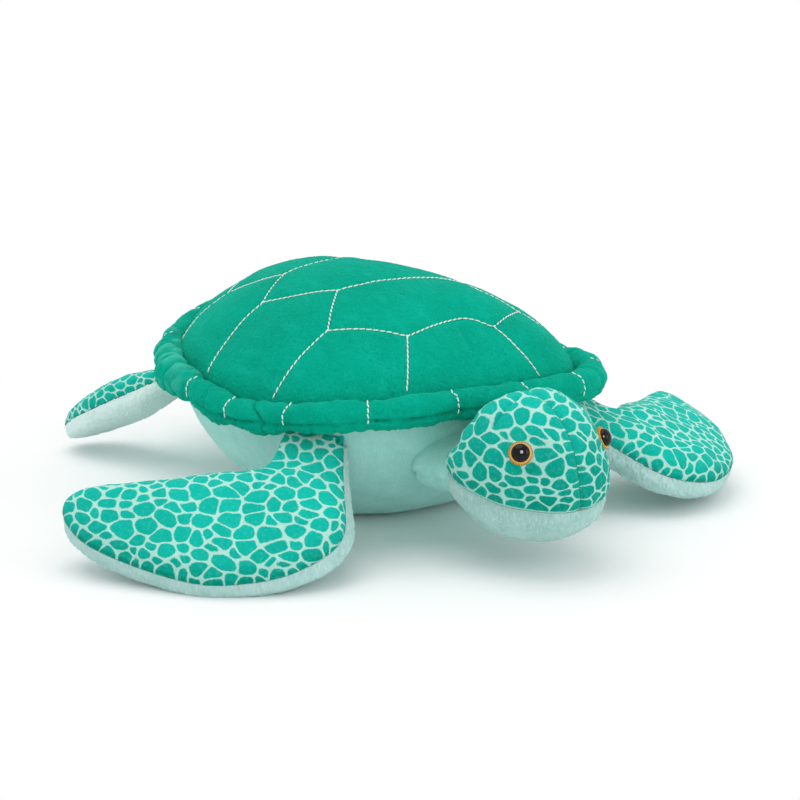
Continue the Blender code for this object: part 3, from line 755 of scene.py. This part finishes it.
def build_belly(finish):
    """The mint belly, full in front and flat where it rests, with soft dents along its seam."""
    bm = open_ball(7, (0, 0, -1))
    ball = read_points(bm)
    angle, share = np.arctan2(ball[:, 1], ball[:, 0]), np.hypot(ball[:, 0], ball[:, 1])
    points = belly_point(angle, share) - (0, 0, SEAM_GAP)
    move_points(bm, points)
    normals = read_normals(bm)
    edge = unit((1 - share) * 12)
    up = unit(points[:, 2] / SEAM_HEIGHT)
    sideways = unit(0.853 * np.abs(normals[:, 0]) + 0.522 * normals[:, 1])
    points -= normals * (20 * sideways ** 2 * up * (1 - up))[:, None]
    tuck = 2.2 * unit(1 - (seam_height(points[:, 1]) - points[:, 2]) / 8)
    points[:, :2] -= tuck[:, None] * heading(angle)
    soft = 1.0 * lumps(points, 26, 5) + 0.4 * lumps(points, 9, 6)
    fuzz = 0.10 * lumps(points, 1.1, 7)
    points = points + normals * (soft * edge + fuzz)[:, None]
    points[:, 2] = np.maximum(points[:, 2], FLOOR_GAP)
    move_points(bm, points)
    close_and_place("belly", bm, finish, ("belly_panel",), "body")


def seam_table(samples=4000):
    """Angle and arc length from the front middle, in mm, positive to the left."""
    angles = FRONT + math.tau * np.arange(samples + 1) / samples
    points = seam_point(angles)
    run = np.concatenate([[0], np.cumsum(np.linalg.norm(np.diff(points, axis=0), axis=1))])
    return angles, run


def build_roll(finish, thread):
    """The stuffed roll round the shell: pinched by cross stitches, creased along its lower side."""
    table_angles, table_run = seam_table()
    perimeter = table_run[-1]
    bm = bmesh.new()
    stand = Matrix.Translation((3, 0, 0)) @ Matrix.Rotation(math.pi / 2, 4, "X")
    bmesh.ops.create_circle(bm, cap_ends=False, segments=60, radius=1, matrix=stand)
    bmesh.ops.spin(
        bm, geom=bm.verts[:] + bm.edges[:], cent=(0, 0, 0), axis=(0, 0, 1),
        angle=math.tau, steps=1080, use_merge=True,
    )
    ring = read_points(bm)
    share = (np.arctan2(ring[:, 1], ring[:, 0]) / math.tau) % 1
    turn = np.arctan2(ring[:, 2], np.hypot(ring[:, 0], ring[:, 1]) - 3)
    run = share * perimeter
    angle = np.interp(run, table_run, table_angles)
    arc = np.where(run > perimeter / 2, run - perimeter, run)
    normal = seam_normal(angle)
    radius, shift, rise, shaggy, brush = roll_form(arc, turn, perimeter)
    out = 0.3 + ROLL_RADIUS * math.cos(math.radians(30))
    centre = seam_point(angle) + normal * (out + shift)[:, None]
    centre[:, 2] += rise - ROLL_DROP
    inmost = 0.6 - out - shift + np.where(turn > 0, 0.9, 0.3) * np.minimum(0, shift)
    points = centre + normal * np.maximum(np.cos(turn) * radius, inmost)[:, None]
    points[:, 2] += np.sin(turn) * radius
    move_points(bm, points)
    normals = read_normals(bm)
    fuzz = (0.18 + 0.50 * shaggy) * lumps(points * (1, 1, 1.3), 1.6, 8)
    move_points(bm, points + normals * fuzz[:, None])
    # The roll keeps its share of brushed pile and painted highlight for its finish.
    store(bm, "brush", brush)
    surface = surface_of(bm)
    threads = bmesh.new()
    for place in ROLL_STITCHES:
        here = np.interp(place % perimeter, table_run, table_angles)
        side = seam_normal(np.array([here]))[0]
        turns = np.radians(np.linspace(92, -34, 24))
        here_arc = (place + perimeter / 2) % perimeter - perimeter / 2
        shift, rise = [np.interp(here_arc, *np.array(ROLL_FORM).T[[0, column]]) for column in (2, 3)]
        heart = seam_point(np.array([here]))[0] + side * (out + shift) + (0, 0, rise - ROLL_DROP)
        line = heart + np.outer(np.cos(turns), side) * ROLL_STITCH_RADIUS
        line[:, 2] += np.sin(turns) * ROLL_STITCH_RADIUS
        sew(threads, line, surface, pitch=3.0, length=2.5, sway=0.14)
    close_and_place("shell_roll", bm, finish, ("rim_strip", "rim_filling"), "body")
    close_and_place("roll_stitching", threads, thread, body="body")


def roll_form(arc, turn, perimeter):
    """The roll's radius, how far it stands out and is lifted, where its pile is shaggy, and its paler share
    of brushed pile and painted highlight.
    """
    form = np.array(ROLL_FORM).T
    radius, shift, rise = [np.interp(arc, form[0], column) for column in form[1:]]
    gaps = [np.abs((arc - place + perimeter / 2) % perimeter - perimeter / 2) for place in ROLL_STITCHES]
    away = np.min(gaps, axis=0)
    gathered = between(arc, *ROLL_GATHERS, 5)
    across, up = np.cos(turn), np.sin(turn)
    radius = radius * (1.04 - 0.15 * fade(away, 3.2))
    tucks = ripple(12, arc / 4.6, across * 1.3, up * 1.3)
    slant = ripple(10, arc / 11.0 + turn * 0.8, across * 0.8, up * 0.8)
    radius += (0.2 + 0.5 * gathered + 0.6 * fade(away, 6)) * tucks + 0.6 * slant
    brush = np.zeros(len(arc))
    for place, back, depth in ROLL_FOLDS:
        off = arc - place - back * (0.5 - 0.5 * up) + 2.2 * slant + 0.8 * tucks
        radius += depth * (0.55 * fade(off - 3.6, 2.6) - fade(off, 1.2))
        # Paler on each lobe's ridge just past a fold: brushed pile, and a painted highlight where the ridge
        # catches the light.
        brush += gathered * fade(off - 4.2, 3.4)
    for place, width, depth in ROLL_SAGS:
        radius += depth * fade(arc - place, width) * unit(-up) ** 1.5
    crease = math.radians(-21) + 0.14 * ripple(11, arc / 16)
    ragged = 1.5 + 0.8 * ripple(14, arc / 21) + 0.6 * ripple(13, arc / 2.5, turn * 3)
    radius -= ragged * fade(turn - crease, 0.15)
    shaggy = between(turn, crease - 1.4, crease, 0.06)
    # Painted highlight: the paler share is strongest on the roll's upper side, where the light falls.
    brush = unit(brush) * unit(0.5 * up + 0.1 + 1.3 * tucks) * 0.5
    return radius, shift, rise, shaggy, brush


# ---------------------------------------------------------------- flippers

def joint_place(name):
    joints = frame["record"]["behaviour"]["joints"]
    return np.array(next(joint["pos_m"] for joint in joints if joint["name"] == name)) / MM


def flipper_frame(kind, root_height):
    """Turn of a flipper's root seam on the left side, drooping until its outer edge is at its height."""
    normal = seam_normal(np.array([math.radians(kind["root_angle"])]))[0]
    turn = math.atan2(normal[1], normal[0])
    droop = math.asin((root_height - kind["edge_height"]) / kind["span"])
    return (
        Matrix.Rotation(turn, 3, "Z") @ Matrix.Rotation(math.radians(kind["tilt"]), 3, "X")
        @ Matrix.Rotation(droop, 3, "Y")
    )


def flipper_half(kind, bend, section, height, angle, lift_angle):
    """Points over one stuffed half, in the root's frame."""
    advance, curl, tip_rise = bend
    size = np.array((kind["span"], kind["length"]))
    spread = np.array(kind["outline"]) * size
    spin = np.array(Matrix.Rotation(math.radians(advance), 2))
    spread[1:-1] = spread[1:-1] @ spin.T
    curve = smooth_curve(spread)
    loop = np.concatenate([curve, along_curve(np.array([curve[-1], curve[0]]), np.linspace(0, 1, 20)[1:])])
    length = np.linalg.norm(np.diff(loop, axis=0), axis=1).sum()
    root_share = 1 - np.linalg.norm(curve[-1] - curve[0]) / 2 / length
    centre = np.array(kind["centre"]) * size
    edge = along_curve(loop, (angle / math.tau - 0.5 + root_share) % 1)
    rows = smooth_curve(section)
    steps = (1 - lift_angle / (math.pi / 2)) * (len(rows) - 1)
    out = np.interp(steps, np.arange(len(rows)), rows[:, 0])
    up = np.interp(steps, np.arange(len(rows)), rows[:, 1])
    # The underside's rim swells past the seam in front and least at the tip.
    tip = edge[:, 1] / kind["length"]
    out = np.where(out > 1, 1 + (out - 1) * np.clip(1 - 1.5 * tip - 2.5 * np.minimum(0, tip), 0, 2.2), out)
    held = unit(1 - edge[:, 0] / 26)
    reach = out - np.maximum(0, out - 0.92) * unit(1 - edge[:, 0] / 5) * (up > 0.02)
    flat = centre + (edge - centre) * reach[:, None]
    rise = abs(height) * up * (1 - 0.5 * held * out) + SEAM_GAP
    over = np.maximum(0, flat) / size
    lift = curl * over[:, 0] ** 2 + tip_rise * over[:, 1] ** 2
    lift += kind["root_lift"] * unit(1 - flat[:, 0] / 24) ** 2
    flat[:, 0] -= 6.0 * unit(1 - flat[:, 0] / 14)
    return np.stack([flat[:, 0], flat[:, 1], math.copysign(1, height) * rise + lift], axis=-1)


def build_flipper(label, side, kind, bend, printed, mint):
    """A printed top and a mint underside, sewn together round the edge."""
    place = joint_place(label + "_raise")
    root = np.array((side * abs(place[0]), place[1], place[2]))
    turn = flipper_frame(kind, place[2])
    for half, section, height, finish, slot_name, ends in (
        ("_top_cover", TOP_SECTION, kind["top"], printed, "printed_plush", ("_top", "_filling")),
        ("_under_cover", UNDER_SECTION, -kind["under"], mint, "mint_plush", ("_underside",)),
    ):
        bm = open_ball(kind["fineness"], (0, 0, math.copysign(1, height)))
        line_back(bm)
        ball = read_points(bm)
        girth = np.linalg.norm(ball, axis=1)
        back = girth < 0.999
        angle = np.arctan2(ball[:, 1], ball[:, 0]) % math.tau
        lift_angle = np.arcsin(unit(np.abs(ball[:, 2])))
        points = flipper_half(kind, bend, section, height, angle, lift_angle)
        lift_angle = (1 - girth[back]) * math.pi / 2
        points[back] = flipper_half(kind, bend, BACK_SECTION, height, angle[back], lift_angle)
        points = points @ np.array(turn).T
        points[:, 0] *= side
        points += root
        move_points(bm, points)
        normals = read_normals(bm) * side
        edge = unit((1 - ball[:, 0] ** 2 - ball[:, 1] ** 2) * 6) * ~back
        seed = 12 + len(label) + side
        # Painted light: the print is paler where the top faces up.
        if finish is printed:
            print_cells(bm, points, normals[:, 2], seed, kind["cells"])
        soft = 1.1 * lumps(points, 24, seed) + 0.35 * lumps(points, 8, seed + 1)
        seam = np.sqrt(unit(1 - np.hypot(ball[:, 0], ball[:, 1])))
        pucker = 0.45 * fade(seam, 0.35) * lumps(points, 3.5, seed + 2)
        fuzz = 0.20 * lumps(points, 1.3, seed + 3)
        if finish is not printed:
            fuzz += 0.30 * lumps(points * (1, 1, 0.3), 0.9, seed + 4)
        points = points + normals * ((soft + pucker) * edge + fuzz)[:, None]
        points[:, 2] = np.maximum(points[:, 2], FLOOR_GAP)
        move_points(bm, points)
        nodes = [label + end for end in ends]
        piece = close_and_place(label + half, bm, finish, nodes)
        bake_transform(piece)


# ---------------------------------------------------------------- neck, head and eyes

def head_frame():
    place = Matrix.Translation(HEAD_PLACE)
    return place @ Matrix.Rotation(HEAD_TURN, 4, "Z") @ Matrix.Rotation(HEAD_NOD, 4, "X")


def head_point(ball):
    """The head's form over a unit ball, broad and low at the nape: X left, -Y the nose, Z the crown."""
    girth = np.maximum(np.hypot(ball[:, 0], ball[:, 2]), 1e-9)
    nape = ball[:, 1] > 0
    height = np.where(ball[:, 2] > 0, CROWN_HEIGHT, CHIN_DEPTH)
    return np.stack([
        ball[:, 0] * HEAD_HALF_WIDTH * np.where(nape, girth ** (NAPE_WIDTH_POWER - 1), 1),
        ball[:, 1] * np.where(nape, HEAD_REAR, HEAD_FRONT),
        ball[:, 2] * height * np.where(nape, girth ** (NAPE_HEIGHT_POWER - 1), 1),
    ], axis=-1)


def head_normal(ball, step=0.002):
    """Outward normals of the head's form."""
    here = head_point(ball)
    aside = np.cross(ball, (0.31, 0.52, 0.79))
    aside /= np.linalg.norm(aside, axis=1, keepdims=True)
    over = np.cross(ball, aside)
    runs = []
    for way in (aside, over):
        near = ball + step * way
        runs.append(head_point(near / np.linalg.norm(near, axis=1, keepdims=True)) - here)
    square = np.cross(*runs)
    square *= np.sign((square * ball).sum(axis=1, keepdims=True))
    return square / np.linalg.norm(square, axis=1, keepdims=True)


def eye_frame(side):
    """Frame of an eye in the head's frame: on the crown, Z along its outward normal."""
    away, lift = EYE_ROUND - EYE_SHIFT[side], EYE_LIFT + EYE_SHIFT[side]
    reach = math.sin(away)
    ball = np.array([[side * reach * math.cos(lift), -math.cos(away), reach * math.sin(lift)]])
    spot, normal = Vector(head_point(ball)[0]), Vector(head_normal(ball)[0])
    turned = Matrix.Rotation(-side * EYE_TILT[side], 3, "Z") @ normal
    return Matrix.Translation(spot) @ turned.to_track_quat("Z", "Y").to_matrix().to_4x4()


def build_head(printed, mint):
    """Two printed crown panels and a mint chin, sunk along their seams and round the eyes."""
    whole = head_frame()
    eyes = [eye_frame(side).translation for side in (-1, 1)]
    for name, planes, finish, nodes in (
        ("crown_left_cover", ((0, 0, 1), (1, 0, 0)), printed, ("crown_left", "head_filling")),
        ("crown_right_cover", ((0, 0, 1), (-1, 0, 0)), printed, ("crown_right",)),
        ("chin_cover", ((0, 0, -1),), mint, ("chin_panel",)),
    ):
        bm = open_ball(8 if len(planes) > 1 else 7)
        for normal in planes:
            cut_half(bm, normal)
            rims = [edge for edge in bm.edges if edge.is_boundary]
            bmesh.ops.holes_fill(bm, edges=rims, sides=0)
        ball = read_points(bm)
        ball[:, 0] -= CENTRE_SEAM_SHIFT * (1 - ball[:, 0] ** 2) * unit(ball[:, 2] * 4)
        ball /= np.linalg.norm(ball, axis=1, keepdims=True)
        points = head_point(ball)
        normals = head_normal(ball)
        move_points(bm, points)
        over = unit(ball[:, 2] * 4)
        seam_x = -CENTRE_SEAM_SHIFT * HEAD_HALF_WIDTH * np.hypot(ball[:, 1], ball[:, 2]) * over
        centre_away = np.abs(points[:, 0] - seam_x)
        chin_away = np.abs(points[:, 2])
        sink = -1.0 * fade(chin_away, 1.5) - 0.6 * fade(chin_away, 5)
        if len(planes) > 1:
            sink += -1.0 * fade(centre_away, 1.2) - 0.6 * fade(centre_away, 4.5)
            dart = lay_on(surface_of(bm), smooth_curve(HEAD_DARTS[planes[1][0]], 20))[0]
            dart_away = near_lines(points, [dart])
            sink += -1.3 * fade(dart_away, 1.0) - 0.7 * fade(dart_away, 4)
            # Painted light: the print is paler where the crown faces up in the room.
            upward = (normals @ np.array(whole.to_3x3()).T)[:, 2]
            print_cells(bm, points, upward, 31 + int(planes[1][0]), 1.06, chin_away - 0.7)
        for eye in eyes:
            round_eye = np.linalg.norm(points - np.array(eye), axis=1)
            sink += 0.5 * fade(round_eye, 4.6) - 0.8 * fade(round_eye - 7.5, 3.0)
        soft = 0.6 * lumps(points, 16, 21) + 0.3 * lumps(points, 6, 22)
        # Stuffed fuller at the back of the crown and round the nape, slimmer on the left
        sink += 3.2 * fade(np.linalg.norm(ball - (-0.44, 0.42, 0.79), axis=1), 0.45)
        sink += 1.4 * fade(np.linalg.norm(ball - (0.44, 0.42, 0.79), axis=1), 0.45)
        sink += 3.0 * unit(-ball[:, 0]) * unit(ball[:, 1]) * fade(ball[:, 2], 0.35)
        sink -= 1.1 * unit(points[:, 0] / 30) ** 2
        fuzz = 0.20 * lumps(points, 1.2, 23)
        fold = np.sin(points[:, 2] / 2.4 + 0.25 * points[:, 0]) * unit((points[:, 1] - 8) / 14)
        points = points + normals * (sink + soft + fuzz + 0.7 * fold)[:, None]
        points[:, 2] += SEAM_GAP if planes[0][2] > 0 else -SEAM_GAP
        if len(planes) > 1:
            points[:, 0] += 0.12 * planes[1][0]
        move_points(bm, points)
        bmesh.ops.transform(bm, matrix=whole, verts=bm.verts)
        close_and_place(name, bm, finish, nodes, "head")


def build_neck(finish):
    """The short broad neck: a soft throat that fills the room between the chest and the nape."""
    low, high = [np.array(corner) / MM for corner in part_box("neck_sleeve")]
    bm = open_ball(7)
    ball = read_points(bm)
    around = np.arctan2(ball[:, 2], ball[:, 0])
    girth = np.hypot(ball[:, 0], ball[:, 2]) ** 0.35
    aside = np.cos(around) * girth * NECK_HALF_WIDTH
    rise = np.where(np.sin(around) > 0, NECK_RISE, NECK_FALL) * np.sin(around) * girth
    bulge = 11.0 * np.abs(aside / NECK_HALF_WIDTH) ** 2.2
    front = low[1] - bulge
    back = high[1] + 6.0
    along = (back + front) / 2 + ball[:, 1] * (back - front) / 2
    flare = 1 + 0.42 * unit((ball[:, 1] + 0.2) / 1.2) ** 2
    points = np.stack([aside * flare, along, NECK_HEIGHT + rise * flare], axis=-1)
    fold = fade(points[:, 2] - 37 - 0.12 * points[:, 0], 1.4) * unit(np.abs(points[:, 0]) / 26)
    points[:, 0] *= 1 - 0.045 * fold
    points += 0.35 * lumps(points, 5, 41)[:, None] + 0.18 * lumps(points, 1.2, 42)[:, None]
    move_points(bm, points)
    neck = close_and_place("neck_cover", bm, finish, ("neck_sleeve", "neck_filling"))
    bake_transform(neck)


def turn_profile(profile, steps):
    """A round piece turned from a profile of radius and height."""
    bm = bmesh.new()
    line = [bm.verts.new((radius, 0, height)) for radius, height in profile]
    edges = [bm.edges.new(pair) for pair in zip(line, line[1:])]
    bmesh.ops.spin(
        bm, geom=line + edges, cent=(0, 0, 0), axis=(0, 0, 1), angle=math.tau, steps=steps, use_merge=True,
    )
    bmesh.ops.remove_doubles(bm, verts=bm.verts, dist=1e-4)
    return bm


def build_eye(label, side, black, amber):
    """A safety eye: a glossy domed pupil in a notched amber ring."""
    seat = head_frame() @ eye_frame(side) @ Matrix.Translation((0, 0, -EYE_SINK[side]))
    front = EYE_SEAT + IRIS_THICKNESS
    back = front + 0.3
    turns = [math.pi / 2 * i / 14 for i in range(15)]
    dome = [(PUPIL_RADIUS * math.sin(t), back + PUPIL_HEIGHT * math.cos(t)) for t in turns]
    foot = back - SHANK_LENGTH
    shank = ((PUPIL_RADIUS * 0.96, back - 0.3), (SHANK_RADIUS, back - 0.3), (SHANK_RADIUS, foot), (0, foot))
    pupil = turn_profile([*dome, *shank], 48)
    bmesh.ops.transform(pupil, matrix=seat, verts=pupil.verts)
    close_and_place("pupil_" + label, pupil, black, ("eye_pupil_" + label,), body="head")
    lip = [
        (IRIS_RADIUS - IRIS_LIP + IRIS_LIP * math.sin(t), front - IRIS_LIP + IRIS_LIP * math.cos(t))
        for t in turns[::2]
    ]
    inner = ((IRIS_HOLE, EYE_SEAT), (IRIS_HOLE, front), (3.2, front))
    ring = [*inner, *lip, (IRIS_RADIUS, EYE_SEAT), inner[0]]
    iris = turn_profile(ring, 72)
    layer = iris.loops.layers.uv.new("ring")
    for face in iris.faces:
        middle = face.calc_center_median()
        base = math.atan2(middle.y, middle.x)
        for loop in face.loops:
            spot = loop.vert.co
            round_at = math.atan2(spot.y, spot.x)
            round_at = base + (round_at - base + math.pi) % math.tau - math.pi
            loop[layer].uv = (round_at / math.tau, math.hypot(spot.x, spot.y) / IRIS_RADIUS)
    bmesh.ops.transform(iris, matrix=seat, verts=iris.verts)
    close_and_place("iris_" + label, iris, amber, ("eye_iris_" + label,), body="head")


# ---------------------------------------------------------------- studio

def build_studio():
    """A pale floor, a soft lamp overhead, a weaker one in front, and the photograph's view."""
    scene = bpy.context.scene
    scene.view_settings.view_transform = "Standard"
    bm = bmesh.new()
    bmesh.ops.create_grid(bm, x_segments=8, y_segments=8, size=6)
    mesh = bpy.data.meshes.new("floor")
    bm.to_mesh(mesh)
    bm.free()
    floor = bpy.data.objects.new("floor", mesh)
    mesh.materials.append(make_paper())
    scene.collection.objects.link(floor)
    world = bpy.data.worlds.new("studio")
    scene.world = world
    world.use_nodes = True
    tree = world.node_tree
    soft = tree.nodes["Background"]
    soft.inputs["Color"].default_value = (1, 1, 1, 1)
    soft.inputs["Strength"].default_value = 0.76
    add = partial(add_node, tree)
    white = add("Background", {"Color": (1, 1, 1, 1), "Strength": 1.0})
    rays = [add("LightPath", out=ray) for ray in ("Is Camera Ray", "Is Transmission Ray")]
    shown = add("Math", {"operation": "MAXIMUM"}, dict(enumerate(rays)))
    mix = add("MixShader", {}, {0: shown, 1: soft.outputs[0], 2: white})
    tree.links.new(mix, tree.nodes["World Output"].inputs["Surface"])
    for name, place, energy, size in (
        ("softbox_over", (-0.25, 0.15, 1.5), 8.0, 1.3),
        ("softbox_front", (0.85, -1.22, 0.55), 4.0, 0.9),
        ("eye_spark", (-0.42, -0.95, 0.62), 15.0, 0.45),
    ):
        light = bpy.data.lights.new(name, "AREA")
        light.energy = energy
        light.size = size
        lamp = bpy.data.objects.new(name, light)
        lamp.location = place
        lamp.visible_diffuse = name != "eye_spark"
        lamp.rotation_euler = (Vector(place) - Vector((0, 0, 0.05))).to_track_quat("Z", "Y").to_euler()
        scene.collection.objects.link(lamp)
    lens = bpy.data.cameras.new("camera")
    lens.lens = 81
    lens.sensor_width = 36
    lens.shift_x = 0.045
    lens.shift_y = -0.04875
    camera = bpy.data.objects.new("camera", lens)
    azimuth, rise = math.radians(-31.5), math.radians(12)
    back = Vector((math.sin(azimuth) * math.cos(rise), -math.cos(azimuth) * math.cos(rise), math.sin(rise)))
    camera.location = Vector((0, 0, 0.065)) + back * 0.9
    camera.rotation_euler = back.to_track_quat("Z", "Y").to_euler()
    scene.collection.objects.link(camera)
    scene.camera = camera


def main():
    minky, thread, nylon, printed = make_minky(), make_thread(), make_nylon(), make_print()
    mint = make_mint("mint_plush", "A4CDC8", "B5D9D5")
    # A lit copy of the mint: painted light on the rear flippers' undersides.
    painted_lit_mint = make_mint("painted_lit_mint_plush", "D2EEEA", "DDF4F0")
    build_studio()
    build_shell(minky, thread)
    # A brighter, greener copy of the mint: painted light and green bounce light on the belly and throat.
    bounce_lit_mint = make_mint("bounce_lit_mint_plush", "9EE0D6", "ACE8E0")
    build_belly(bounce_lit_mint)
    build_roll(minky, thread)
    for label, side in (("left", 1), ("right", -1)):
        build_flipper("front_flipper_" + label, side, FRONT_FLIPPER, FRONT_BEND[label], printed, mint)
        build_flipper("rear_flipper_" + label, side, REAR_FLIPPER, REAR_BEND, printed, painted_lit_mint)
        build_eye(label, side, make_black(), make_amber())
        washer = frame["nodes"]["eye_washer_" + label]
        washer.data.materials.clear()
        washer.data.materials.append(nylon)
    build_neck(bounce_lit_mint)
    # A darker copy of the mint: painted shade under the chin.
    build_head(printed, make_mint("shaded_chin_mint_plush", "98C3BD", "A9CFCA"))


main()
